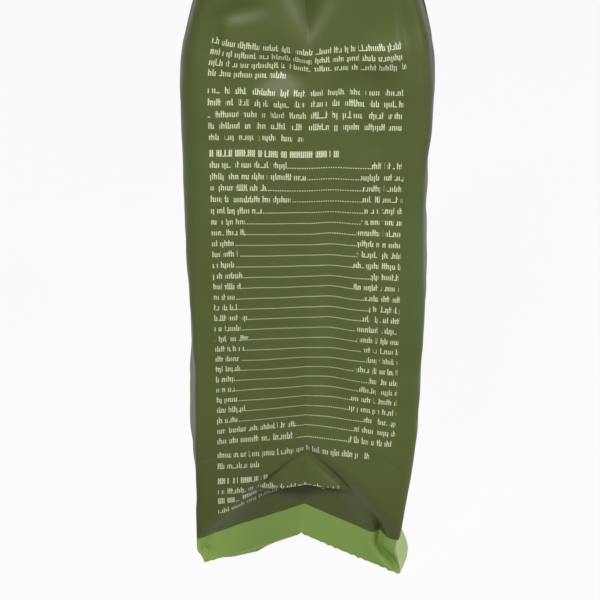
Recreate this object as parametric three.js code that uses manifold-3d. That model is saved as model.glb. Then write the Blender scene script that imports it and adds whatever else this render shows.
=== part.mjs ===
// A filled side-gusset pouch for dry pet food, standing on its bottom seal.
// One sealed pack, one solid. Millimetres, +Z up, origin at the middle of the footprint.
// The wide front faces -Y and the gussets face +X and -X.
// The film is lofted ring by ring: each ring is one level of the film, from the cut edge up.
import * as THREE from "three";
import { mergeVertices } from "three/addons/utils/BufferGeometryUtils.js";
import Module from "manifold-3d";

// Flat sizes of the pouch
const face_width = 155;
const gusset_width = 90;
const bag_height = 330;
const top_seal_height = 15;
const seal_thickness = 1.2;
const seam_width = 12;
const seam_thickness = 0.7;
const fin_width = 12;
const fin_thickness = 0.8;

// How the filled pouch stands
const draw_in = 8;
const draw_height = 95;
const depth_slack = 0.6;
const face_bulge = 5;
const shoulder_height = 52;
const soft_corner = 8;
const soft_start = 100;
const soft_end = 160;
const crisp_corner = 3;
const tip_corner = 1;

// The foot leans to one side, and its tips are turned in, out and back
const lean_in = 7;
const lean_out = 0.6;
const lean_height = 70;
const tip_spread = 3.1;
const tip_tuck = 3.2;
const tip_back = 4;
const tip_height = 11;
const base_depth = 40;
const base_run = 15;
const leg_thickness = 2;

// The head, where the wide faces close on the top seal
const taper_height = 110;
const taper_power = 1.6;
const flatten_start = 185;
const flatten_end = 260;

// The folded mouth of each gusset at the foot: an arch with its tip up on the centre crease
const mouth_height = 52;
const mouth_depth = 20;
const mouth_arch = 6;
const mouth_power = 1.55;
const weld_height = 24;
const pillow_height = 40;
const pillow_swell = 2.6;
const pillow_edge = 0.6;
const valley_depth = 5;
const valley_top = 0.6;
const valley_fade = 6;
const valley_power = 2.2;
const roll_width = 8;
const facet_width = 4;

// The centre crease of each gusset
const ridge_low = 3;
const ridge_high = 6;
const ridge_peak_height = 200;
const fold_in_height = 213;
const fold_in_power = 2.5;
const crease_slip = 5;
const slip_power = 1.3;
const slip_up_end = 140;
const slip_turn = 190;
const slip_down_start = 170;
const slip_down_full = 205;
const slip_gone_height = 265;
const slit_close = 9;

// The corner of the foot that is spread outward
const flap_length = 40;
const flap_flare = 4;
const flap_blend = 22;

// Steps of the loft. Half the gusset's columns stand inside the mouth's arch, so one runs along it.
const gusset_steps = 18;
const least_share = 0.04;
const spread_height = 85;
const corner_steps = 3;
const tip_steps = 3;
const middle_steps = 4;

const half_face = face_width / 2;
const half_gusset = gusset_width / 2;
const seal_half = seal_thickness / 2;
const seam_half = seam_width / 2;
const seal_start = bag_height - top_seal_height;
const taper_start = seal_start - taper_height;
const mouth_back = half_face - mouth_depth;
const base_end = mouth_back - base_run;

const clamp = (t) => Math.min(1, Math.max(0, t));
const mix = (a, b, t) => a + (b - a) * t;
const smooth = (from, to, t) => {
  const k = clamp((t - from) / (to - from));
  return k * k * (3 - 2 * k);
};

// Where the corner folds stand at film level h; side is +1 or -1, the sign of y
function cornerX(h, side) {
  const filled = smooth(0, draw_height, h) * (1 - smooth(taper_start, seal_start, h));
  const bent = side < 0 ? tip_back * (1 - smooth(0, tip_height, h)) : 0;
  return half_face - draw_in * filled - bent;
}

function cornerY(h, side) {
  const lean = side > 0 ? lean_in : -lean_out;
  const tip = side > 0 ? tip_spread : -tip_tuck;
  const body = half_gusset - depth_slack - lean * (1 - smooth(0, lean_height, h));
  const stood = body + tip * (1 - smooth(0, tip_height, h));
  const t = clamp((h - taper_start) / taper_height);
  return mix(stood, seal_half, t ** taper_power);
}

function cornerRadius(h, side) {
  const body = mix(crisp_corner, soft_corner, smooth(soft_start, soft_end, h));
  const foot = mix(tip_corner, body, smooth(0, shoulder_height, h));
  return Math.min(foot, 0.8 * cornerY(h, side));
}

// Half width of the mouth's arch at film level h
function archHalf(h, side) {
  return cornerY(h, side) * (1 - (h / mouth_height) ** mouth_power);
}

// Where column t of a gusset stands, 0 on the centre crease, 1 at the corner's bend, 0.5 on the arch
function columnY(t, h, side) {
  const last_y = cornerY(h, side) - cornerRadius(h, side);
  const on_arch = Math.min(1 - least_share, Math.max(least_share, archHalf(h, side) / last_y));
  const above = mix(least_share, 0.5, smooth(mouth_height, spread_height, h));
  const split = h < mouth_height ? on_arch : above;
  return last_y * (t < 0.5 ? 2 * t * split : mix(split, 1, 2 * t - 1));
}

// How far the valley of the mouth's arch is turned in at film level h
function valleyDepth(h) {
  const low = smooth(0, valley_fade, h);
  const high = mix(1, valley_top, smooth(weld_height, mouth_height, h));
  return valley_depth * low * high * (1 - smooth(mouth_height, mouth_height + roll_width, h));
}

// The gusset: how far out the film stands at y from the centre crease, at film level h
function gussetX(y, h, side) {
  const edge = cornerY(h, side);
  const corner = cornerX(h, side);
  const inward = clamp(1 - y / edge);
  const rise = smooth(shoulder_height, ridge_peak_height, h);
  const ridge = mix(ridge_low, ridge_high, rise) * (1 - smooth(fold_in_height, seal_start, h));
  const panel = corner + ridge * inward;

  // Inside the arch: the V walls of the weld, the hollow above them, and the pillow over it
  const tip_y = cornerY(0, side);
  const slope = ((edge * mouth_power) / mouth_height) * (h / mouth_height) ** (mouth_power - 1);
  const inside = (archHalf(h, side) - y) / Math.hypot(1, slope);
  const wall = mix(mouth_back, cornerX(0, side), clamp(y / tip_y));
  const pillow = corner + pillow_swell * clamp(pillow_edge + inside / roll_width);
  const facet = mix(wall, pillow, smooth(weld_height, pillow_height, h));

  // Both sides of the arch turn in to a valley
  const valley = panel - valleyDepth(h);
  const outer = mix(panel, valley, clamp(1 + inside / roll_width) ** valley_power);
  const inner = mix(valley, facet, 1 - clamp(1 - inside / facet_width) ** 2);
  let x = inside > 0 ? inner : outer;

  // Head: the gusset folds in toward the top seal, and the slit closes under it
  const folded = smooth(fold_in_height, fold_in_height + taper_height / 2, h);
  const full_fold = Math.sqrt(Math.max(0, half_gusset ** 2 - edge ** 2));
  const open = 1 - smooth(seal_start - slit_close, seal_start, h);
  x -= folded * open * full_fold * inward ** mix(fold_in_power, 1, folded);
  return x;
}

// How far the film has slipped up (or down) along the centre crease
function creaseLift(y, h, side) {
  const inward = clamp(1 - y / cornerY(h, side));
  const low = mix(mouth_arch, crease_slip, smooth(0, shoulder_height, h));
  const up = low * (1 - smooth(slip_up_end, slip_turn, h));
  const back = 1 - smooth(fold_in_height, slip_gone_height, h);
  const down = crease_slip * smooth(slip_down_start, slip_down_full, h) * back;
  return (up - down) * inward ** slip_power;
}

// The wide faces: half depth at x, at film level h. The foot runs from the thin splayed legs
// of the weld and the narrow base up to the full bulge at the shoulder.
function faceY(x, h, side, flared) {
  const edge = cornerY(h, side);
  const bulge = face_bulge * smooth(0, shoulder_height, h) * (1 - smooth(flatten_start, flatten_end, h));
  const full = edge + bulge * (1 - (x / cornerX(h, side)) ** 2);
  const tip_y = cornerY(0, side);
  const leg = leg_thickness + (tip_y * (x - mouth_back)) / (cornerX(0, side) - mouth_back);
  const tucked = Math.max(base_depth / 2, Math.min(leg, edge));
  const reach = half_face - x;
  const flap = tip_y + flap_flare * Math.sin(Math.PI * clamp(reach / flap_length));
  const held = smooth(flap_length, flap_length - flap_blend, reach);
  const foot = flared ? mix(tucked, flap, held) : tucked;
  return mix(foot, full, Math.sin((Math.PI / 2) * clamp(h / shoulder_height)));
}

// One quarter of a ring, from the centre crease of a gusset to the middle of a wide face
function quarter(h, side_x, side_y) {
  const r = cornerRadius(h, side_y);
  const corner = cornerX(h, side_y);
  const flared = side_x > 0 && side_y > 0;
  const points = [];
  const put = (x, y, z) => points.push(new THREE.Vector3(side_x * x, side_y * y, z));
  const last_y = cornerY(h, side_y) - r;
  for (let i = 0; i <= gusset_steps; i++) {
    const y = columnY(i / gusset_steps, h, side_y);
    put(gussetX(y, h, side_y), y, h + creaseLift(y, h, side_y));
  }
  const from = new THREE.Vector2(gussetX(last_y, h, side_y), last_y);
  const to = new THREE.Vector2(corner - r, faceY(corner - r, h, side_y, flared));
  const tip = new THREE.Vector2(corner, Math.max(cornerY(h, side_y), to.y));
  const bend = new THREE.QuadraticBezierCurve(from, tip, to);
  for (let i = 1; i < corner_steps; i++) {
    const p = bend.getPoint(i / corner_steps);
    put(p.x, p.y, h);
  }
  const stations = [];
  for (let i = 0; i < tip_steps; i++) stations.push(mix(to.x, base_end, i / tip_steps));
  for (let i = 0; i <= middle_steps; i++) {
    stations.push(mix(base_end, seam_half + seam_thickness, i / middle_steps));
  }
  stations.push(seam_half, 0);
  const base_lift = fin_thickness * (1 - smooth(0, weld_height, h));
  for (const x of stations) {
    const on_seam = side_y > 0 && x <= seam_half && h > weld_height && h < seal_start;
    const lift = base_lift * (1 - smooth(mouth_back, mouth_back + mouth_depth / 2, x));
    put(x, faceY(x, h, side_y, flared) + (on_seam ? seam_thickness : 0), h + lift);
  }
  return points;
}

function ring(h) {
  const a = quarter(h, 1, 1);
  const b = quarter(h, -1, 1).reverse();
  const c = quarter(h, -1, -1);
  const d = quarter(h, 1, -1).reverse();
  return [...a, ...b.slice(1), ...c.slice(1), ...d.slice(1, -1)];
}

// Film levels: close together at the two folded ends, wide apart on the body
function levels() {
  const list = [];
  const add = (from, to, steps) => {
    for (let i = 0; i < steps; i++) list.push(mix(from, to, i / steps));
  };
  const arch_end = mouth_height + roll_width;
  const head_start = taper_start - crease_slip;
  add(0, arch_end, 20);
  add(arch_end, head_start, 8);
  add(head_start, seal_start - slit_close, 13);
  add(seal_start - slit_close, seal_start, 2);
  list.push(seal_start, bag_height);
  return list;
}

// Faces that close the film over the points of one ring that are picked, in their order
function capFaces(loop, picked, offset, facing_up) {
  const contour = picked.map((i) => new THREE.Vector2(loop[i].x, loop[i].y));
  const faces = THREE.ShapeUtils.triangulateShape(contour, []);
  return faces.flatMap((face) => {
    const [a, b, c] = face.map((k) => picked[k] + offset);
    return facing_up ? [a, b, c] : [a, c, b];
  });
}

// The underside: the middle lies flat, and each end rises to the weld's inner point
function footFaces(loop) {
  const side = loop.length / 4;
  const last = gusset_steps + corner_steps + tip_steps;
  const run = (from, to) => {
    const list = [];
    for (let i = from; i <= to; i++) list.push((i + loop.length) % loop.length);
    return list;
  };
  const ends = [run(-last, last), run(2 * side - last, 2 * side + last)];
  const middle = [...run(last, 2 * side - last), ...run(2 * side + last, 4 * side - last)];
  return [...ends, middle].flatMap((picked) => capFaces(loop, picked, 0, false));
}

// Each quad is cut along the way its folds run: out and down at the foot, out and up at the head
function loft(rings) {
  const count = rings[0].length;
  const positions = rings.flat().flatMap((p) => [p.x, p.y, p.z]);
  const index = [];
  for (let r = 0; r + 1 < rings.length; r++) {
    const at_foot = rings[r][0].z < bag_height / 2;
    for (let i = 0; i < count; i++) {
      const a = r * count + i;
      const b = r * count + ((i + 1) % count);
      const from_crease = Math.floor((4 * i) / count) % 2 === 0;
      if (from_crease === at_foot) {
        index.push(a, b, a + count, b, b + count, a + count);
      } else {
        index.push(a, b, b + count, a, b + count, a + count);
      }
    }
  }
  const top = rings.length - 1;
  index.push(...footFaces(rings[0]));
  index.push(...capFaces(rings[top], [...rings[top].keys()], top * count, true));
  const geometry = new THREE.BufferGeometry();
  geometry.setAttribute("position", new THREE.Float32BufferAttribute(positions, 3));
  geometry.setIndex(index);
  return geometry;
}

// The bottom weld between the two gussets, folded flat under the base
function baseFin() {
  const length = 2 * base_end - 2 * fin_thickness;
  const box = new THREE.BoxGeometry(length, fin_width, 3 * fin_thickness);
  box.translate(0, 0, 1.5 * fin_thickness);
  return box;
}

const wasm = await Module();
wasm.setup();

function solidOf(geometry) {
  const bare = geometry.clone();
  bare.deleteAttribute("normal");
  bare.deleteAttribute("uv");
  const merged = mergeVertices(bare);
  const mesh = new wasm.Mesh({
    numProp: 3,
    vertProperties: new Float32Array(merged.attributes.position.array),
    triVerts: new Uint32Array(merged.index.array),
  });
  return new wasm.Manifold(mesh);
}

function geometryOf(solid) {
  const mesh = solid.getMesh();
  const geometry = new THREE.BufferGeometry();
  geometry.setAttribute("position", new THREE.BufferAttribute(mesh.vertProperties, 3));
  geometry.setIndex(new THREE.BufferAttribute(mesh.triVerts, 1));
  geometry.computeVertexNormals();
  return geometry;
}

function bag() {
  const film = solidOf(loft(levels().map(ring)));
  const whole = film.add(solidOf(baseFin()));
  const olive_film = new THREE.MeshStandardMaterial({
    name: "olive_film",
    color: 0x56663c,
    roughness: 0.55,
    metalness: 0,
  });
  const mesh = new THREE.Mesh(geometryOf(whole), olive_film);
  mesh.name = "bag";
  return mesh;
}

const pouch = new THREE.Group();
pouch.add(bag());

export default pouch;
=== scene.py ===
"""A filled side-gusset pet food bag, seen on its gusset: the shaped film, its finish and a plain studio."""

import math
from collections import namedtuple
from types import SimpleNamespace

import bmesh
import bpy
import numpy as np
from bpy.props import FloatProperty, FloatVectorProperty, PointerProperty
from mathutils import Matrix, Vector


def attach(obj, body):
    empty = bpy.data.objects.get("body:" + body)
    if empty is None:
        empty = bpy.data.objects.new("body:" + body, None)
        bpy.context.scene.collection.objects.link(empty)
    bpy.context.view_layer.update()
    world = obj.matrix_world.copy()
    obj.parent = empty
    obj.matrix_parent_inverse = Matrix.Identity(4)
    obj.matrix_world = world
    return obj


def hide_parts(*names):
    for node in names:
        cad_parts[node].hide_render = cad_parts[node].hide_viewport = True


bl_info = {
    "name": "Side-gusset food bag",
    "version": (1, 0, 0),
    "blender": (4, 5, 0),
    "location": "View3D > Sidebar > Food bag",
    "description": "Shapes a filled side-gusset film bag, prints it and sets it in a plain studio",
    "category": "Object",
}

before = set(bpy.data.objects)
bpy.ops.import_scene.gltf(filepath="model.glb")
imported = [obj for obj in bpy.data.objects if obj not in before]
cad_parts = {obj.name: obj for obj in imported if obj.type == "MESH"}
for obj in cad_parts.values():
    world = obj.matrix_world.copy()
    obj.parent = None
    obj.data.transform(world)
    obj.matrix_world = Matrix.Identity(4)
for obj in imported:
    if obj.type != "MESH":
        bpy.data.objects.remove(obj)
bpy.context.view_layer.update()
MM = 0.001  # the scene's unit is the metre


def linear(hex_colour):
    """An sRGB hex value as the linear colour that a shader socket takes."""
    parts = [int(hex_colour[i : i + 2], 16) / 255 for i in (1, 3, 5)]
    return tuple(c / 12.92 if c <= 0.04045 else ((c + 0.055) / 1.055) ** 2.4 for c in parts) + (1.0,)


def add_node(tree, kind, inputs=None, **settings):
    """One node with its settings; inputs maps a socket's name or number to a value or to a socket."""
    made = tree.nodes.new(kind)
    for name, value in settings.items():
        setattr(made, name, value)
    for key, value in (inputs or {}).items():
        if isinstance(value, bpy.types.NodeSocket):
            tree.links.new(value, made.inputs[key])
        else:
            made.inputs[key].default_value = value
    return made


def length(name, description, millimetres):
    """A setting that is a length. Blender keeps it in metres, and it is given here in millimetres."""
    start = millimetres * MM
    return FloatProperty(name=name, description=description, default=start, unit="LENGTH", precision=5)


def share(name, description, default):
    """A setting between nothing and all."""
    return FloatProperty(
        name=name, description=description, default=default, min=0, max=1, subtype="FACTOR"
    )


def angle(name, description, degrees):
    """A setting that is an angle. Blender keeps it in radians."""
    return FloatProperty(name=name, description=description, default=math.radians(degrees), subtype="ANGLE")


def colour(name, description, hex_colour):
    """A setting that is a colour, from its sRGB hex value."""
    start = linear(hex_colour)
    return FloatVectorProperty(
        name=name, description=description, default=start, size=4, min=0, max=1, subtype="COLOR"
    )


UNSET = {"rna_type", "name"}  # what every property group has besides its own settings


def in_mm(group):
    """The settings of a group by their names, with every length in millimetres."""
    values = {}
    for name, setting in group.bl_rna.properties.items():
        if name not in UNSET:
            value = getattr(group, name)
            values[name] = round(value / MM, 4) if setting.unit == "LENGTH" else value
    return SimpleNamespace(**values)


class BagSizes(bpy.types.PropertyGroup):
    """Sizes of the pouch, as it lies flat and as it stands filled."""

    face_width: length("Face width", "Flat width of the front", 155.0)
    gusset_width: length("Gusset width", "Full width of a side gusset", 90.0)
    height: length("Height", "Foot to top edge", 330.0)
    top_seal: length("Top seal", "Height of the flat top seal", 15.0)
    band: length("Foot band", "Height of the lighter printed band", 16.0)
    tooth_pitch: length("Tooth pitch", "Pitch of the zigzag cut at the foot", 3.0)
    tooth_depth: length("Tooth depth", "Depth of the zigzag cut at the foot", 0.8)
    lumps: length("Lumps", "How far the food inside shows through", 0.24)


class PrintSizes(bpy.types.PropertyGroup):
    """Sizes of the small print. It is drawn as strokes that are not letters."""

    column: length("Column", "Half width of the printed column", 36.0)
    skew: share("Skew", "Rise of the print over its way across", 0.016)
    word: length("Word", "Usual length of a word with its gap", 6.6)
    last_word: length("Last word", "Length of a table row's last word", 8.0)
    stroke: length("Stroke", "Distance between upright strokes", 0.78)
    weight: share("Weight", "Width of a stroke as a share of that distance", 0.5)
    middle: length("Row height", "Half height of most strokes", 0.85)
    tall: length("Tall strokes", "How far tall strokes reach above the others", 0.8)
    deep: length("Deep strokes", "How far deep strokes reach below the others", 0.6)
    bar: length("Bar", "Thickness of the level bars and dotted lines", 0.36)
    dot: length("Dots", "Distance between the dots of a dotted line", 0.9)
    figure_least: length("Shortest figure", "Least length of the words at a table's right", 11.0)
    figure_spread: length("Figure spread", "How much longer they can be", 8.0)
    strength: share("Strength", "How opaque the print is", 0.8)


class FilmColours(bpy.types.PropertyGroup):
    """Colours of the printed film, and a painted highlight on the band at the back."""

    olive: colour("Olive", "Ground colour of the film", "#525e2c")
    shade: colour("Shade", "The ground where its ink lies thicker", "#495226")
    cream: colour("Cream", "The small print", "#dfe6c4")
    band: colour("Band", "Band at the foot of the front and the gussets", "#8fae57")
    # Painted light: the back's band is the printed band painted paler, a painted highlight for the lit flap
    # that flares out at the foot
    band_back_painted_light: colour("Band behind", "The same band on the back, where it is paler", "#b3cb86")


class StageSettings(bpy.types.PropertyGroup):
    """Where the camera stands, what it looks at, and how bright the surroundings are."""

    elevation: angle("Elevation", "Camera above the horizon", 25.0)
    turn: angle("Turn", "Camera to the right of square on", 0.0)
    distance: length("Distance", "Camera to what it looks at", 537.0)
    target_out: length("Target out", "Place looked at, out from the bag's middle", 70.0)
    target_side: length("Target side", "Place looked at, across the gusset", -2.5)
    target_height: length("Target height", "Place looked at, above the floor", 121.4)
    lens: FloatProperty(name="Lens", description="Focal length in millimetres", default=84.4, unit="CAMERA")
    sky: share("Sky", "Strength of the even light from all sides", 0.1)
    floor_glow: share("Floor glow", "How much of the floor is plain white to the camera", 0.95)


def clamp(t):
    return np.clip(t, 0.0, 1.0)


def mix(a, b, t):
    return a + (b - a) * t


def smooth(low, high, t):
    k = clamp((t - low) / (high - low))
    return k * k * (3 - 2 * k)


class Pouch:
    """The shape of the filled pouch, level by level up the film. All lengths are millimetres."""

    # The filling draws the corner folds in, and bulges the faces between them
    draw_in, draw_height = 8.0, 95.0
    depth_slack, face_bulge, bulge_close, bulge_gone = 0.6, 5.0, 185.0, 260.0
    # The foot: depth and run of its flat base, and the height where the pouch is at full depth
    base_depth, base_run, shoulder = 40.0, 15.0, 52.0
    # The foot leans towards -Y, where its tip is bent back and turned in, and at +Y the tip is spread
    lean_in, lean_out, lean_height = 7.0, 0.6, 70.0
    tip_spread, tip_tuck, tip_back, tip_height = 2.4, 2.3, 4.0, 11.0
    # The head tapers from the filled body to the flat top seal
    taper_height, taper_power = 110.0, 1.6
    # Radius of the corner folds at the top, above the shoulder and at the tips, and its share of the depth
    soft_corner, crisp_corner, tip_corner, corner_share = 8.0, 3.0, 1.0, 0.8
    soften_from, soften_to = 100.0, 160.0
    # The mouth that the folded gusset leaves at the foot: its arch, the walls down to the weld, and
    # the pillow of food over them
    mouth_height, mouth_depth, mouth_power = 51.5, 20.0, 1.55
    weld_height, wall_lean = 31.0, 2.0
    pillow_height, pillow_swell, pillow_start = 37.5, 2.6, 0.6
    # The valley along the arch, and how the film rolls into it from both sides
    valley_depth, valley_top, valley_fade = 4.5, 0.6, 6.0
    roll_width, roll_power, facet_width = 8.0, 2.2, 9.0
    # The gusset stands out to a soft ridge at its crease, and folds in at the head
    ridge_low, ridge_high, ridge_peak, ridge_power = 5.0, 6.5, 200.0, 1.6
    fold_in, fold_in_power, slit_close = 214.0, 9.0, 9.0
    # How far the film at the crease has slipped up from where it lay flat, level by level
    slip_heights = (0, 40, 51, 61, 90, 115, 150, 170, 200, 212, 221, 235, 265)
    slips = (6.0, 6.0, 6.5, 8.4, 6.2, 5.3, 3.2, 2.3, 1.5, -0.5, -2.6, -5.0, 0.0)
    slip_power = 1.3
    # The foot in view: its risen tip, its drift aside, a tuck and a groove over the spread tip, and
    # the flap of film that flares out there
    tip_rise, foot_drift, rise_height = 2.8, 2.0, 24.0
    tuck, tuck_height, tuck_reach = 5.2, 9.0, 7.0
    groove, groove_half, groove_foot, groove_low, groove_top = 3.4, 1.6, 4.0, 14.0, 28.0
    flap_length, flap_flare, flap_blend, leg_spare = 40.0, 4.6, 22.0, 2.0
    # Thicknesses of film: the top seal, the lap seam on the back, and the fin folded under the base
    seal_half, seam_half, seam_thickness, fin_thickness = 0.6, 6.0, 0.7, 0.8
    # Where the mesh is fine: least share of a gusset for the arch's columns, the level where the columns
    # are even, the levels between which the rows change, rows in each run, and how the face's columns crowd
    least_share, spread_height = 0.02, 85.0
    fold_top, head_start, level_counts = 62.0, 185.0, (70, 62, 62, 7)
    crowding = 0.55

    def __init__(self, settings):
        sizes = in_mm(settings)
        self.half_face = sizes.face_width / 2
        self.half_gusset = sizes.gusset_width / 2
        self.round = 2 * (sizes.face_width + sizes.gusset_width)
        self.round_start = -self.round + self.half_gusset + self.half_face
        self.height = sizes.height
        self.seal_start = sizes.height - sizes.top_seal
        self.taper_start = self.seal_start - self.taper_height
        self.mouth_back = self.half_face - self.mouth_depth
        self.base_end = self.mouth_back - self.base_run
        self.tooth_pitch, self.tooth_depth = sizes.tooth_pitch, sizes.tooth_depth
        self.lumps, self.band = sizes.lumps, sizes.band

    def corner_x(self, h, side):
        """Where the corner folds stand; one tip of the foot is bent back."""
        filled = smooth(0, self.draw_height, h) * (1 - smooth(self.taper_start, self.seal_start, h))
        bent = self.tip_back * (1 - smooth(0, self.tip_height, h)) if side < 0 else 0.0
        return self.half_face - self.draw_in * filled - bent

    def corner_y(self, h, side):
        """Half depth at the corner folds. The foot leans to one side, and its tips turn in and out."""
        lean = self.lean_in if side > 0 else -self.lean_out
        tip = self.tip_spread if side > 0 else -self.tip_tuck
        body = self.half_gusset - self.depth_slack - lean * (1 - smooth(0, self.lean_height, h))
        body = body + tip * (1 - smooth(0, self.tip_height, h))
        if side > 0:
            body = body - self.tuck * np.exp(-(((h - self.tuck_height) / self.tuck_reach) ** 2))
        t = clamp((h - self.taper_start) / self.taper_height)
        return mix(body, self.seal_half, t**self.taper_power)

    def corner_radius(self, h, side):
        """How softly the corner folds are rounded: crisp at the foot, softer up the filled body."""
        body = mix(self.crisp_corner, self.soft_corner, smooth(self.soften_from, self.soften_to, h))
        foot = mix(self.tip_corner, body, smooth(0, self.shoulder, h))
        return np.minimum(foot, self.corner_share * self.corner_y(h, side))

    def arch_half(self, h, side):
        """Half width of the mouth's arch; below zero above the arch."""
        return self.corner_y(h, side) * (1 - (h / self.mouth_height) ** self.mouth_power)

    def column_y(self, t, h, side):
        """Where a gusset's columns stand: 0 the centre crease, 0.5 on the arch, 1 the corner's bend."""
        last = self.corner_y(h, side) - self.corner_radius(h, side)
        on_arch = np.clip(self.arch_half(h, side) / last, self.least_share, 1 - self.least_share)
        above = mix(self.least_share, 0.5, smooth(self.mouth_height, self.spread_height, h))
        split = np.where(h < self.mouth_height, on_arch, above)
        return last * np.where(t < 0.5, 2 * t * split, mix(split, 1, 2 * t - 1))

    def gusset_x(self, y, h, side):
        """How far out a gusset stands: its panel, the mouth at its foot and its fold at the head."""
        edge, corner = self.corner_y(h, side), self.corner_x(h, side)
        inward = clamp(1 - y / edge)
        rise = smooth(self.shoulder, self.ridge_peak, h)
        ridge = mix(self.ridge_low, self.ridge_high, rise) * (1 - smooth(self.fold_in, self.seal_start, h))
        panel = corner + ridge * inward**self.ridge_power

        # Inside the arch of the mouth: the V walls of the weld, their hollow, and the pillow over it
        tip_y, tip_x = self.corner_y(0.0, side), self.corner_x(0.0, side)
        power = self.mouth_power
        slope = edge * power / self.mouth_height * (h / self.mouth_height) ** (power - 1)
        inside = (self.arch_half(h, side) - y) / np.hypot(1, slope)
        wall = mix(self.mouth_back, tip_x, clamp(y / tip_y))
        wall = wall + self.wall_lean * smooth(0, self.weld_height, h) * clamp(1 - y / tip_y)
        pillow = corner + self.pillow_swell * clamp(self.pillow_start + inside / self.roll_width)
        facet = mix(wall, pillow, smooth(self.weld_height, self.pillow_height, h))

        # Both sides of the arch turn in to a sharp valley
        fade = mix(1, self.valley_top, smooth(self.weld_height, self.mouth_height, h))
        fade = smooth(0, self.valley_fade, h) * fade
        fade = fade * (1 - smooth(self.mouth_height, self.mouth_height + self.roll_width, h))
        valley = panel - self.valley_depth * fade
        outer = mix(panel, valley, clamp(1 + inside / self.roll_width) ** self.roll_power)
        inner = mix(valley, facet, 1 - clamp(1 - inside / self.facet_width) ** 2)
        x = np.where(inside > 0, inner, outer)
        if side > 0:
            # A narrow groove runs up from the tip at +Y
            low = smooth(0, self.groove_foot, h) * (1 - smooth(self.groove_low, self.groove_top, h))
            x = x - self.groove * low * np.exp(-((inside / self.groove_half) ** 2))

        # At the head the gusset folds in between the faces, and its slit closes under the seal
        folded = smooth(self.fold_in, self.fold_in + self.taper_height / 2, h)
        full_fold = np.sqrt(np.maximum(0, self.half_gusset**2 - edge**2))
        slit = 1 - smooth(self.seal_start - self.slit_close, self.seal_start, h)
        return x - folded * slit * full_fold * inward ** mix(self.fold_in_power, 1, folded)

    def crease_lift(self, y, h, side):
        """How far the film has slipped up or down at the crease and beside it."""
        inward = clamp(1 - y / self.corner_y(h, side))
        return np.interp(h, self.slip_heights, self.slips) * inward**self.slip_power

    def along_leg(self, x, side):
        """0 at the back of the mouth and 1 at the tip of the foot."""
        return clamp((x - self.mouth_back) / (self.corner_x(0.0, side) - self.mouth_back))

    def face_y(self, x, h, side, flared):
        """How far out a face stands, from the legs and flat base of the foot to the bulged body."""
        edge = self.corner_y(h, side)
        bulge = self.face_bulge * smooth(0, self.shoulder, h)
        bulge = bulge * (1 - smooth(self.bulge_close, self.bulge_gone, h))
        full = edge + bulge * (1 - (x / self.corner_x(h, side)) ** 2)
        tip_y = self.corner_y(0.0, side)
        leg = tip_y * self.along_leg(x, side) + self.leg_spare
        foot = np.maximum(self.base_depth / 2, np.minimum(leg, edge))
        if flared:
            reach = self.half_face - x
            flap = tip_y + self.flap_flare * np.sin(math.pi * clamp(reach / self.flap_length))
            foot = mix(foot, flap, smooth(self.flap_length, self.flap_length - self.flap_blend, reach))
        return mix(foot, full, np.sin(math.pi / 2 * clamp(h / self.shoulder)))

    def tooth(self, along, h):
        """Zigzag of the cut edge: zero at a tip, the tooth's depth in a notch, on the lowest level only."""
        wave = np.abs((along / self.tooth_pitch) % 1.0 - 0.5) * 2
        return self.tooth_depth * wave * (h <= 0)

    def face(self, h, steps, side, flared):
        """A half of a face at every level: its places from the corner's bend to its middle."""
        seam_x = np.array([[self.seam_half, self.seam_half / 2, 0.0]])
        start = self.corner_x(h, side) - self.corner_radius(h, side)
        k = np.linspace(0, 1, steps - seam_x.size)[None, :]
        k = k * (1 - self.crowding + self.crowding * k)
        x = np.hstack([mix(start, self.seam_half + self.seam_thickness, k), seam_x + 0 * h])
        y = self.face_y(x, h, side, flared)
        if side > 0:
            proud = (h > self.weld_height) * (h < self.seal_start)
            y = y + self.seam_thickness * proud * (x <= self.seam_half)
        lift = self.fin_thickness * (1 - smooth(0, self.weld_height, h))
        lift = lift * (1 - smooth(self.mouth_back, self.mouth_back + self.mouth_depth / 2, x))
        teeth = self.tooth(np.where(flared, x, y), h) * (x > self.mouth_back)
        return x, y, h + lift + teeth

    def drag_foot(self, x, y, z, h, side, on_gusset):
        """Drags the foot of the gusset in view aside, and bends up its tip at -Y."""
        low = 1 - smooth(0, self.rise_height, h)
        inward = clamp(1 - y / self.corner_y(h, side)) * on_gusset
        y = y - side * self.foot_drift * low * inward
        if side < 0:
            z = z + self.tip_rise * low * np.where(on_gusset, 1 - inward, self.along_leg(x, side))
        return y, z

    def quarter(self, h, steps, side_x, side_y):
        """One quarter of every ring, from a gusset's centre crease to the middle of a face: its places,
        and how far each is from that crease, round the flat film."""
        gusset_steps, corner_steps, face_steps = steps
        h = h[:, None]
        corner_x, corner_y = self.corner_x(h, side_y), self.corner_y(h, side_y)
        y = self.column_y(np.linspace(0, 1, gusset_steps + 1)[None, :], h, side_y)
        x = self.gusset_x(y, h, side_y)
        z = h + self.crease_lift(y, h, side_y) + self.tooth(y, h)
        face_x, face_y, face_z = self.face(h, face_steps, side_y, side_x > 0 and side_y > 0)

        # The bend at the corner leaves the gusset and meets the face as a curve drawn to the corner's fold
        t = np.linspace(0, 1, corner_steps + 1)[None, 1:-1]
        away, drawn, near = (1 - t) ** 2, 2 * t * (1 - t), t**2
        end_x, end_y = face_x[:, :1], face_y[:, :1]
        bend_x = away * x[:, -1:] + drawn * corner_x + near * end_x
        bend_y = away * y[:, -1:] + drawn * np.maximum(corner_y, end_y) + near * end_y

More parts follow.
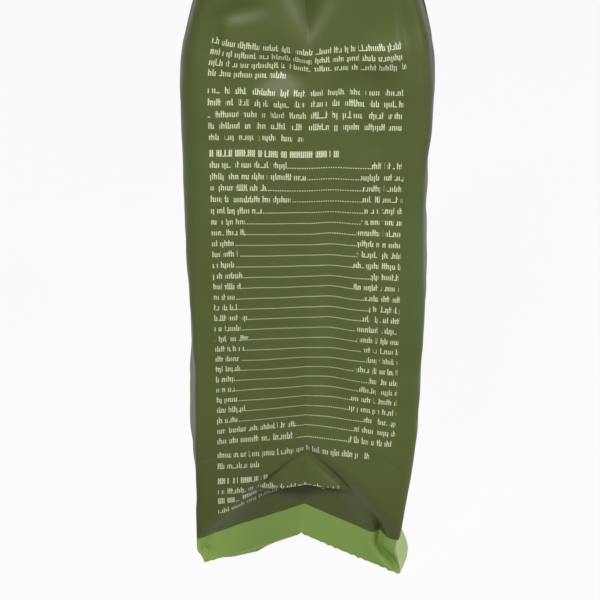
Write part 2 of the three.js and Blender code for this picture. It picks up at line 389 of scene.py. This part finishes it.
        gusset_across = self.half_gusset * y / corner_y
        face_across = self.half_gusset + self.half_face * (corner_x - face_x) / corner_x
        bend_across = mix(gusset_across[:, -1:], face_across[:, :1], t)
        across = np.hstack([gusset_across, bend_across, face_across])
        x = np.hstack([x, bend_x, face_x])
        y = np.hstack([y, bend_y, face_y])
        z = np.hstack([z, h + 0 * bend_x, face_z])
        if side_x > 0:
            on_gusset = np.arange(x.shape[1])[None, :] <= gusset_steps
            y, z = self.drag_foot(x, y, z, h, side_y, on_gusset)
        return np.stack([side_x * x, side_y * y, z], axis=-1), across


def film_levels(pouch):
    """Levels up the film, close together where it folds."""
    ends = (0.0, pouch.fold_top, pouch.head_start, pouch.seal_start, pouch.height)
    runs = [
        np.linspace(low, high, count, endpoint=False)
        for low, high, count in zip(ends, ends[1:], pouch.level_counts)
    ]
    return np.concatenate([*runs, ends[-1:]])


def around(pouch, h, steps):
    """Every ring from the back seam round by -X, the front and +X to the seam again: its places, and
    how far each is from the centre crease of the +X gusset, round the flat film."""
    half_round = 2 * (pouch.half_face + pouch.half_gusset)
    places, across = [], []
    for side_x, side_y in ((-1, 1), (-1, -1), (1, -1), (1, 1)):
        quarter, distance = pouch.quarter(h, steps, side_x, side_y)
        distance = side_x * side_y * distance - (half_round if side_x < 0 else 0)
        if side_x * side_y < 0:
            quarter, distance = quarter[:, ::-1], distance[:, ::-1]
        places.append(quarter[:, 1:] if places else quarter)
        across.append(distance[:, 1:] if across else distance)
    return np.concatenate(places, axis=1), np.concatenate(across, axis=1)


# A dent or a ridge in the film: middle across and up, half length, half width, slant from upright
# in degrees and height, outward when positive. They follow the light and dark of the photograph.
Dent = namedtuple("Dent", "across up length width slant height")

GUSSET_DENTS = (
    Dent(-35.5, 222, 9, 3.2, 0, -2.2),
    Dent(-27, 234, 9, 2.8, 70, -2.0),
    Dent(-23, 221, 9, 8.0, 0, 1.4),
    Dent(28, 217, 8, 8.5, 0, 3.2),
    Dent(38, 227, 12, 2.4, 0, -1.6),
    Dent(-9, 213, 6, 9.0, 0, -2.6),
    Dent(-9, 200, 5, 9.0, 0, 1.8),
    Dent(14, 203, 8, 6.0, 20, -1.8),
    Dent(-33, 196, 7, 5.0, 30, 0.9),
    Dent(-20, 184, 12, 5.0, 70, -0.9),
    Dent(24, 184, 10, 6.0, -50, -0.8),
    Dent(9.5, 130, 50, 6.0, 0, -1.9),
    Dent(10, 78, 20, 9.0, 0, -1.6),
    Dent(-24, 140, 12, 6.0, 80, -0.7),
    Dent(-30, 105, 14, 6.0, 75, 0.6),
    Dent(28, 84, 16, 7.0, -75, 0.6),
    Dent(-41, 51.9, 0.9, 4.5, -12, -0.5),
    Dent(36.5, 48.7, 0.9, 4.5, 31, -0.6),
)


def dent_field(across, up, dents):
    """How far all the dents together move the film outward."""
    out = 0 * across * up
    for d in dents:
        a = math.radians(d.slant)
        along = (across - d.across) * math.sin(a) + (up - d.up) * math.cos(a)
        aside = (across - d.across) * math.cos(a) - (up - d.up) * math.sin(a)
        out = out + d.height * np.exp(-((along / d.length) ** 2) - (aside / d.width) ** 2)
    return out


# Unevenness from the food: seed, shortest and longest wave, how many waves, and share of its height
Lumps = namedtuple("Lumps", "seed shortest longest waves share")

LUMPS = (Lumps(7, 14, 34, 40, 1.0), Lumps(21, 60, 140, 12, 2.2))


def lump_field(across, up, lumps):
    """Soft unevenness from the food behind the film: plane waves between two wavelengths."""
    dice = np.random.default_rng(lumps.seed)
    out = 0 * across * up
    for _ in range(lumps.waves):
        wavelength = dice.uniform(lumps.shortest, lumps.longest)
        heading = dice.uniform(0, math.pi)
        phase = dice.uniform(0, 2 * math.pi)
        travel = across * math.cos(heading) + up * math.sin(heading)
        out = out + np.sin(2 * math.pi * travel / wavelength + phase)
    return lumps.share * out / math.sqrt(lumps.waves)


def outward(places):
    """Unit normals of the grid of places, by finite differences."""
    ahead = np.gradient(places, axis=1)
    upward = np.gradient(places, axis=0)
    normal = np.cross(ahead, upward)
    return normal / np.maximum(np.linalg.norm(normal, axis=-1, keepdims=True), 1e-9)


class BAG_OT_film(bpy.types.Operator):
    """Shapes the filled pouch from a grid of film, closed at both ends"""

    bl_idname = "bag.film"
    bl_label = "Filled pouch"

    steps = (56, 6, 46)  # columns of film on a gusset's half, round a corner and on a face's half
    # Millimetres: where the lumps begin, are full and end under the seal, and how far dents pass the fold
    lumps_from, lumps_full, lumps_gone, dent_fade = 22, 60, 30, 10
    merge_within = 1e-6  # metres
    sharp_from = 50  # degrees

    def close_leg(self, ring, side, leg_end):
        """The triangles between the two walls of one splayed leg of the foot, from its tip inward. Each
        takes the next vertex of the wall that is further out."""
        faces = []
        inner = outer = self.steps[0] + 1
        out = ring(0).co.x
        while inner > 0 or outer < leg_end:
            next_outer = ring(side * min(outer + 1, leg_end))
            nearer = inner > 0 and ring(side * (inner - 1)).co.x * out >= next_outer.co.x * out
            edge = [ring(side * inner), ring(side * outer)]
            if nearer or outer == leg_end:
                faces.append([edge[0], ring(side * (inner - 1)), edge[1]])
                inner -= 1
            else:
                faces.append([edge[0], next_outer, edge[1]])
                outer += 1
        return faces

    def close_ends(self, mesh, row_start, cols, leg_end):
        """Closes one ring of the grid. From each gusset's crease the film is joined across to the other
        side; with leg_end, the splayed legs of the foot are closed on their own first."""
        edit = bmesh.from_edit_mesh(mesh)
        edit.verts.ensure_lookup_table()
        uv = edit.loops.layers.uv.active
        quarter = (cols - 1) // 4
        faces = []
        for crease in (quarter, 3 * quarter):

            def ring(k, crease=crease):
                return edit.verts[row_start + (crease + k) % (cols - 1)]

            for j in range(leg_end, quarter):
                corners = [ring(j), ring(j + 1), ring(-j - 1), ring(-j)]
                faces.append(corners if j else corners[:3])
            if leg_end:
                faces.append([ring(0), ring(leg_end), ring(-leg_end)])
                faces += self.close_leg(ring, -1, leg_end) + self.close_leg(ring, 1, leg_end)
        for corners in faces:
            if len(set(corners)) == len(corners):
                for loop in edit.faces.new(corners).loops:
                    loop[uv].uv = loop.vert.link_loops[0][uv].uv
        bmesh.update_edit_mesh(mesh)

    def execute(self, context):
        pouch = Pouch(context.scene.bag_sizes)
        h = film_levels(pouch)
        places, across = around(pouch, h, self.steps)
        rows, cols = across.shape
        up = h[:, None]

        # Dents belong to the gusset in view, lumps to all the filled part of the film
        filled = smooth(self.lumps_from, self.lumps_full, up)
        filled = filled * (1 - smooth(pouch.taper_start, pouch.seal_start - self.lumps_gone, up))
        in_view = 1 - smooth(pouch.half_gusset, pouch.half_gusset + self.dent_fade, np.abs(across))
        move = dent_field(across, up, GUSSET_DENTS) * in_view
        for lumps in LUMPS:
            move = move + pouch.lumps * filled * lump_field(across, up, lumps)
        places = places + outward(places) * move[..., None]
        places[:, -1] = places[:, 0] = (places[:, 0] + places[:, -1]) / 2

        bpy.ops.object.select_all(action="DESELECT")
        bpy.ops.mesh.primitive_grid_add(x_subdivisions=cols - 1, y_subdivisions=rows - 1, size=1)
        bag = context.active_object
        bag.name = bag.data.name = "film_bag"
        mesh = bag.data
        mesh.vertices.foreach_set("co", (places * MM).reshape(-1).astype(np.float32))
        loop_vertex = np.empty(len(mesh.loops), dtype=np.int32)
        mesh.loops.foreach_get("vertex_index", loop_vertex)
        flat = np.empty((len(loop_vertex), 2), dtype=np.float32)
        flat[:, 0] = (across.reshape(-1)[loop_vertex] - pouch.round_start) / pouch.round
        flat[:, 1] = h[loop_vertex // cols] / pouch.height
        mesh.uv_layers[0].name = "film"
        mesh.uv_layers[0].data.foreach_set("uv", flat.reshape(-1))
        mesh.update()

        bpy.ops.object.mode_set(mode="EDIT")
        quarter = (cols - 1) // 4
        leg_end = int(np.argmax(places[0, 3 * quarter :, 0] < pouch.base_end))
        self.close_ends(mesh, 0, cols, leg_end)
        self.close_ends(mesh, (rows - 1) * cols, cols, 0)
        bpy.ops.mesh.select_all(action="SELECT")
        bpy.ops.mesh.remove_doubles(threshold=self.merge_within)
        bpy.ops.mesh.select_all(action="SELECT")
        bpy.ops.mesh.normals_make_consistent(inside=False)
        bpy.ops.object.mode_set(mode="OBJECT")
        bpy.ops.object.shade_smooth_by_angle(angle=math.radians(self.sharp_from))
        bag.data.materials.append(laminate_film(context.scene))
        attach(bag, "root")
        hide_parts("bag")
        return {"FINISHED"}


# One block of small print: height of the first row's middle, distance between rows, rows, where the
# last row ends, whether it is bold, usual length of a name where it is a table, and the word gap
Block = namedtuple("Block", "first pitch rows last_end bold name gap")

PRINT_BLOCKS = (
    Block(221.4, 3.92, 4, -8, 0, 0, 1.0),
    Block(203.2, 4.42, 5, -1, 0, 0, 1.9),
    Block(179.2, 3.8, 1, 12, 1, 0, 1.1),
    Block(175.0, 4.49, 5, 36, 0, 31, 1.0),
    Block(152.54, 4.49, 20, 36, 0, 12, 1.0),
    Block(62.72, 4.49, 2, 36, 0, 33, 1.0),
    Block(52.4, 4.3, 1, 26, 0, 0, 1.0),
    Block(47.7, 4.3, 1, -19, 0, 0, 1.0),
    Block(41.2, 4.1, 1, -15.5, 1, 0, 1.1),
    Block(36.8, 4.1, 1, 15, 0, 0, 1.0),
    Block(32.6, 4.1, 1, -14, 1, 0, 1.1),
    Block(28.1, 4.1, 1, 10, 0, 0, 1.0),
)


# What the luck of each row, word and stroke is drawn from, so that no two of them share a draw
ROW_SEED, BLOCK_SEED, STROKE_SEED, BAR_SEED, FIGURE_SEED = 517.0, 40.0, 1.37, 91.3, 7.7
# Where in its cell of film a word's gap starts, and how far on it can be
GAP_FIRST, GAP_RANGE = 0.25, 0.7
# Limits of luck: tall strokes lie over the first and deep ones under the second, no stroke is under the
# third, a bar is over the fourth, and it is at the top over the fifth
TALL_OVER, DEEP_UNDER, BARE_UNDER, BAR_OVER, TOP_BAR_OVER = 0.72, 0.09, 0.12, 0.5, 0.55
# Shares of a name's usual length, of a dot's pitch, and what a bold stroke adds to its width
NAME_LEAST, NAME_RANGE, DOT_SHARE, BOLD_EXTRA = 0.6, 0.6, 0.6, 0.2


def print_steps(scene, pouch):
    """The arithmetic of the small print, one step a line: name, operation and inputs. An input is a
    number, the name of an earlier step, or u and v, the place on the film."""
    ink = in_mm(scene.bag_print)
    steps = [
        ("across", "MULTIPLY_ADD", "u", pouch.round, pouch.round_start),
        ("up", "MULTIPLY", "v", pouch.height),
        ("up_row", "MULTIPLY_ADD", "across", ink.skew, "up"),
    ]
    total = {"row": 0.0, "level": 0.0, "end": 0.0, "bold": 0.0, "name": 0.0, "gap": 0.0}
    for number, block in enumerate(PRINT_BLOCKS):
        top = block.first + block.pitch / 2
        values = {
            "row": ("ADD", "line", BLOCK_SEED * number + 1),
            "level": ("MULTIPLY_ADD", "part", -block.pitch, block.pitch / 2),
            "end": ("MULTIPLY_ADD", "is_last", block.last_end - ink.column, ink.column),
            "bold": ("ADD", 0.0, float(block.bold)),
            "name": ("ADD", 0.0, float(block.name)),
            "gap": ("ADD", 0.0, block.gap),
        }
        steps += [
            ("down", "SUBTRACT", top, "up_row"),
            ("t", "DIVIDE", "down", block.pitch),
            ("line", "FLOOR", "t"),
            ("part", "FRACT", "t"),
            ("is_last", "GREATER_THAN", "line", block.rows - 1.5),
            ("begun", "GREATER_THAN", "t", 0.0),
            ("unfinished", "LESS_THAN", "t", float(block.rows)),
            ("here", "MULTIPLY", "begun", "unfinished"),
        ]
        for name, step in values.items():
            if step[1:] == (0.0, 0.0):
                continue
            steps += [("value", *step), (name + str(number), "MULTIPLY_ADD", "value", "here", total[name])]
            total[name] = name + str(number)
    row, level, end = total["row"], total["level"], total["end"]
    bold, name_long, gap = total["bold"], total["name"], total["gap"]
    steps += [
        ("printed", "GREATER_THAN", gap, 0.0),
        ("table", "GREATER_THAN", name_long, 0.0),
        ("half_gap", "MULTIPLY", gap, 0.5),
        # Words: each cell of film has one gap, somewhere in its middle
        ("seed", "MULTIPLY", row, ROW_SEED),
        ("cell", "ADD", "across", ink.column),
        ("cell", "DIVIDE", "cell", ink.word),
        ("cell_part", "FRACT", "cell"),
        ("cell", "FLOOR", "cell"),
        ("cell", "ADD", "cell", "seed"),
        ("cell_luck", "LUCK", "cell"),
        ("gap_place", "MULTIPLY_ADD", "cell_luck", GAP_RANGE, GAP_FIRST),
        ("gap_off", "SUBTRACT", "cell_part", "gap_place"),
        ("gap_off", "ABSOLUTE", "gap_off"),
        ("gap_off", "MULTIPLY", "gap_off", ink.word),
        ("in_word", "GREATER_THAN", "gap_off", "half_gap"),
        # The last word of every table row is as long as the others
        ("last_off", "ADD", "across", ink.last_word - ink.column),
        ("last_off", "ABSOLUTE", "last_off"),
        ("last_apart", "GREATER_THAN", "last_off", "half_gap"),
        ("no_table", "SUBTRACT", 1.0, "table"),
        ("last_apart", "MAXIMUM", "last_apart", "no_table"),
        ("in_word", "MULTIPLY", "in_word", "last_apart"),
        # Strokes: each has its own height, some reach above the row and some below
        ("stroke", "DIVIDE", "across", ink.stroke),
        ("stroke_part", "FRACT", "stroke"),
        ("stroke", "FLOOR", "stroke"),
        ("stroke", "MULTIPLY_ADD", "stroke", STROKE_SEED, "seed"),
        ("stroke_luck", "LUCK", "stroke"),
        ("bar_luck", "ADD", "stroke", BAR_SEED),
        ("bar_luck", "LUCK", "bar_luck"),
        ("tall", "GREATER_THAN", "stroke_luck", TALL_OVER),
        ("tall", "MAXIMUM", "tall", bold),
        ("deep", "LESS_THAN", "stroke_luck", DEEP_UNDER),
        ("low_height", "SUBTRACT", 1.0, bold),
        ("deep", "MULTIPLY", "deep", "low_height"),
        ("top", "MULTIPLY_ADD", "tall", ink.tall, ink.middle),
        ("foot", "MULTIPLY_ADD", "deep", -ink.deep, -ink.middle),
        ("under_top", "LESS_THAN", level, "top"),
        ("over_foot", "GREATER_THAN", level, "foot"),
        ("upright", "MULTIPLY", "under_top", "over_foot"),
        ("width", "MULTIPLY_ADD", bold, BOLD_EXTRA, ink.weight),
        ("in_stroke", "LESS_THAN", "stroke_part", "width"),
        ("stroke_on", "GREATER_THAN", "bar_luck", BARE_UNDER),
        ("in_stroke", "MULTIPLY", "in_stroke", "stroke_on"),
        ("upright", "MULTIPLY", "upright", "in_stroke"),
        # Short level bars join some strokes at the top or the foot of the row
        ("bar_side", "GREATER_THAN", "bar_luck", TOP_BAR_OVER),
        ("bar_side", "MULTIPLY_ADD", "bar_side", 2.0, -1.0),
        ("bar_level", "MULTIPLY", "bar_side", ink.middle - ink.bar / 2),
        ("bar_off", "SUBTRACT", level, "bar_level"),
        ("bar_off", "ABSOLUTE", "bar_off"),
        ("bar", "LESS_THAN", "bar_off", ink.bar / 2),
        ("bar_here", "GREATER_THAN", "stroke_luck", BAR_OVER),
        ("bar", "MULTIPLY", "bar", "bar_here"),
        ("marks", "MAXIMUM", "upright", "bar"),
        ("marks", "MULTIPLY", "marks", "in_word"),
        # Columns: rows start on the left and run to their end; a table row has words at both sides
        ("row_luck", "LUCK", "seed"),
        ("name_share", "MULTIPLY_ADD", "row_luck", NAME_RANGE, NAME_LEAST),
        ("name_end", "MULTIPLY_ADD", name_long, "name_share", -ink.column),
        ("row_luck", "ADD", "seed", FIGURE_SEED),
        ("row_luck", "LUCK", "row_luck"),
        ("figure_start", "MULTIPLY_ADD", "row_luck", -ink.figure_spread, ink.column - ink.figure_least),
        ("started", "GREATER_THAN", "across", -ink.column),
        ("not_ended", "LESS_THAN", "across", end),
        ("in_column", "MULTIPLY", "started", "not_ended"),
        ("in_column", "MULTIPLY", "in_column", "printed"),
        ("after_name", "GREATER_THAN", "across", "name_end"),
        ("before_figure", "LESS_THAN", "across", "figure_start"),
        ("between", "MULTIPLY", "after_name", "before_figure"),
        ("between", "MULTIPLY", "between", "table"),
        ("beside", "SUBTRACT", 1.0, "between"),
        ("marks", "MULTIPLY", "marks", "beside"),
        # A dotted line leads from the name to the figure
        ("dot", "DIVIDE", "across", ink.dot),
        ("dot", "FRACT", "dot"),
        ("dot", "LESS_THAN", "dot", DOT_SHARE),
        ("line_off", "ADD", level, ink.middle - ink.bar / 2),
        ("line_off", "ABSOLUTE", "line_off"),
        ("leader", "LESS_THAN", "line_off", ink.bar / 2),
        ("leader", "MULTIPLY", "leader", "dot"),
        ("leader", "MULTIPLY", "leader", "between"),
        ("marks", "MAXIMUM", "marks", "leader"),
        ("marks", "MULTIPLY", "marks", "in_column"),
        ("marks", "MULTIPLY", "marks", ink.strength),
        ("in_band", "LESS_THAN", "up", pouch.band),
        # The back lies past the gusset's fold, and past the seam at the other end of the web; its band is
        # painted paler there, as painted light
        ("past_fold", "GREATER_THAN", "across", pouch.half_gusset),
        ("past_seam", "LESS_THAN", "across", -2 * pouch.half_face - 3 * pouch.half_gusset),
        ("on_back", "MAXIMUM", "past_fold", "past_seam"),
    ]
    return steps


# Lengths of the film's finish: how far apart the ink's tone changes, and its grain
MOTTLE, GRAIN, GRAIN_DEPTH = 62.5 * MM, 0.5 * MM, 0.02 * MM
SMOOTHEST, ROUGHEST, FILM_IOR, GRAIN_STRENGTH = 0.45, 0.55, 1.4, 0.25


def laminate_film(scene):
    """Matte reverse-printed polyester and polyethylene laminate: an even soft shine with no clear
    reflection, olive with a lighter band at the foot and small cream print."""
    material = bpy.data.materials.new("matte_laminate_film")
    material.use_nodes = True
    tree = material.node_tree
    shader = tree.nodes["Principled BSDF"]
    colours = scene.bag_colours

    uv = add_node(tree, "ShaderNodeUVMap", uv_map="film")
    place = add_node(tree, "ShaderNodeSeparateXYZ", {0: uv.outputs[0]})
    made = {"u": place.outputs["X"], "v": place.outputs["Y"]}
    for name, operation, *values in print_steps(scene, Pouch(scene.bag_sizes)):
        values = [made[value] if isinstance(value, str) else value for value in values]
        if operation == "LUCK":
            node = add_node(tree, "ShaderNodeTexWhiteNoise", {"W": values[0]}, noise_dimensions="1D")
        else:
            node = add_node(tree, "ShaderNodeMath", dict(enumerate(values)), operation=operation)
        made[name] = node.outputs[0]

    # The ink's tone wanders a little, the band lies over it, and the small print over both
    spot = add_node(tree, "ShaderNodeTexCoord").outputs["Object"]
    drift = add_node(tree, "ShaderNodeTexNoise", {"Vector": spot, "Scale": 1 / MOTTLE, "Detail": 2.0})
    layers = (
        ("ground", drift.outputs["Fac"], colours.olive, colours.shade),
        # On the back the band takes its paler colour, a painted highlight for the lit flap at the foot
        ("band", made["on_back"], colours.band, colours.band_back_painted_light),
        ("banded", made["in_band"], "ground", "band"),
        ("printed", made["marks"], "banded", colours.cream),
    )
    for name, factor, under, over in layers:
        pair = [made[c] if isinstance(c, str) else tuple(c) for c in (under, over)]
        inputs = {"Factor": factor, "A": pair[0], "B": pair[1]}
        made[name] = add_node(tree, "ShaderNodeMix", inputs, data_type="RGBA").outputs["Result"]
    tree.links.new(made["printed"], shader.inputs["Base Color"])
    shader.inputs["IOR"].default_value = FILM_IOR

    # The matte outer web scatters a little more in some places, and its skin has a fine grain
    sheen = {"Value": drift.outputs["Fac"], "To Min": SMOOTHEST, "To Max": ROUGHEST}
    sheen = add_node(tree, "ShaderNodeMapRange", sheen)
    tree.links.new(sheen.outputs["Result"], shader.inputs["Roughness"])
    grain = add_node(tree, "ShaderNodeTexNoise", {"Vector": spot, "Scale": 1 / GRAIN, "Detail": 1.0})
    skin = {"Height": grain.outputs["Fac"], "Strength": GRAIN_STRENGTH, "Distance": GRAIN_DEPTH}
    skin = add_node(tree, "ShaderNodeBump", skin)
    tree.links.new(skin.outputs["Normal"], shader.inputs["Normal"])
    return material


# An area lamp: its name, place and aim in metres, size in metres, watts and spread in degrees. Narrow
# spreads keep the light on the bag and let it fall off towards the foot, and the last lamp lights
# the corner that is splayed out there.
Lamp = namedtuple("Lamp", "name place aim size watts spread")

LAMPS = (
    Lamp("key", (0.7, -0.3, 0.68), (0.07, 0, 0.175), 0.3, 0.25, 20),
    Lamp("fill", (0.6, 0.75, 0.55), (0.07, 0.03, 0.23), 0.25, 0.16, 26),
    Lamp("edge", (0.13, 0.7, 0.1), (0.07, 0.05, 0.01), 0.2, 0.06, 16),
)
WHITE = (1, 1, 1, 1)
FLOOR_LIT, FLOOR_SEEN = (0.4, 0.4, 0.4, 1), (0.9, 0.9, 0.9, 1)
FLOOR_SIZE, SENSOR, CLIP_START = 8, 36, 0.01


class BAG_OT_studio(bpy.types.Operator):
    """Sets the pale floor, the soft lamps, the world and the camera"""

    bl_idname = "bag.studio"
    bl_label = "Studio"

    def execute(self, context):
        scene, stage = context.scene, context.scene.bag_stage
        bpy.ops.object.select_all(action="DESELECT")
        bpy.ops.mesh.primitive_plane_add(size=FLOOR_SIZE)
        floor = context.active_object
        floor.name = "floor"
        floor.data.materials.append(pale_floor(stage.floor_glow))

        world = bpy.data.worlds.new("studio")
        scene.world = world
        world.use_nodes = True
        world.node_tree.nodes["Background"].inputs["Color"].default_value = WHITE
        world.node_tree.nodes["Background"].inputs["Strength"].default_value = stage.sky

        for lamp in LAMPS:
            data = bpy.data.lights.new(lamp.name, "AREA")
            data.size = lamp.size
            data.energy = lamp.watts
            data.spread = math.radians(lamp.spread)
            set_looking(scene, lamp.name, data, Vector(lamp.place), Vector(lamp.aim))

        level = math.cos(stage.elevation)
        away = Vector(
            (level * math.cos(stage.turn), level * math.sin(stage.turn), math.sin(stage.elevation))
        )
        target = Vector((stage.target_out, stage.target_side, stage.target_height))
        data = bpy.data.cameras.new("camera")
        data.lens = stage.lens
        data.sensor_width = SENSOR
        data.clip_start = CLIP_START
        scene.camera = set_looking(scene, "camera", data, target + away * stage.distance, target)
        scene.view_settings.view_transform = "Standard"
        return {"FINISHED"}


def set_looking(scene, name, data, place, aim):
    """A lamp or the camera at its place, turned to what it looks at."""
    thing = bpy.data.objects.new(name, data)
    scene.collection.objects.link(thing)
    thing.location = place
    thing.rotation_euler = (aim - place).to_track_quat("-Z", "Y").to_euler()
    return thing


def pale_floor(glow_share):
    """White board: pale to the lamps, and near white to the camera with the bag's soft shadow kept."""
    material = bpy.data.materials.new("white_board")
    material.use_nodes = True
    tree = material.node_tree
    tree.nodes.clear()
    path = add_node(tree, "ShaderNodeLightPath")
    seen = path.outputs["Is Camera Ray"]
    for ray in ("Is Glossy Ray", "Is Transmission Ray"):
        rays = {0: seen, 1: path.outputs[ray]}
        seen = add_node(tree, "ShaderNodeMath", rays, operation="MAXIMUM").outputs[0]
    part = add_node(tree, "ShaderNodeMath", {0: seen, 1: glow_share}, operation="MULTIPLY")
    tones = {"Factor": seen, "A": FLOOR_LIT, "B": FLOOR_SEEN}
    pale = add_node(tree, "ShaderNodeMix", tones, data_type="RGBA")
    board = add_node(tree, "ShaderNodeBsdfDiffuse", {"Color": pale.outputs["Result"]})
    glow = add_node(tree, "ShaderNodeEmission", {"Color": WHITE, "Strength": 1.0})
    layers = {0: part.outputs[0], 1: board.outputs[0], 2: glow.outputs[0]}
    both = add_node(tree, "ShaderNodeMixShader", layers)
    add_node(tree, "ShaderNodeOutputMaterial", {"Surface": both.outputs[0]})
    return material


class BAG_PT_panel(bpy.types.Panel):
    """Lists the bag's sizes and the steps that make it"""

    bl_label = "Food bag"
    bl_idname = "BAG_PT_panel"
    bl_space_type = "VIEW_3D"
    bl_region_type = "UI"
    bl_category = "Food bag"

    def draw(self, context):
        for group_name in GROUPS:
            group = getattr(context.scene, group_name)
            for name in group.bl_rna.properties.keys():
                if name not in UNSET:
                    self.layout.prop(group, name)
        for operator in OPERATORS:
            self.layout.operator(operator.bl_idname)


GROUPS = {
    "bag_sizes": BagSizes,
    "bag_print": PrintSizes,
    "bag_colours": FilmColours,
    "bag_stage": StageSettings,
}
OPERATORS = (BAG_OT_film, BAG_OT_studio)
CLASSES = (*GROUPS.values(), *OPERATORS, BAG_PT_panel)


def register():
    for cls in CLASSES:
        bpy.utils.register_class(cls)
    for name, group in GROUPS.items():
        setattr(bpy.types.Scene, name, PointerProperty(type=group))


def unregister():
    for name in GROUPS:
        delattr(bpy.types.Scene, name)
    for cls in reversed(CLASSES):
        bpy.utils.unregister_class(cls)


def main():
    register()
    bpy.ops.bag.film()
    bpy.ops.bag.studio()


if __name__ == "__main__":
    main()
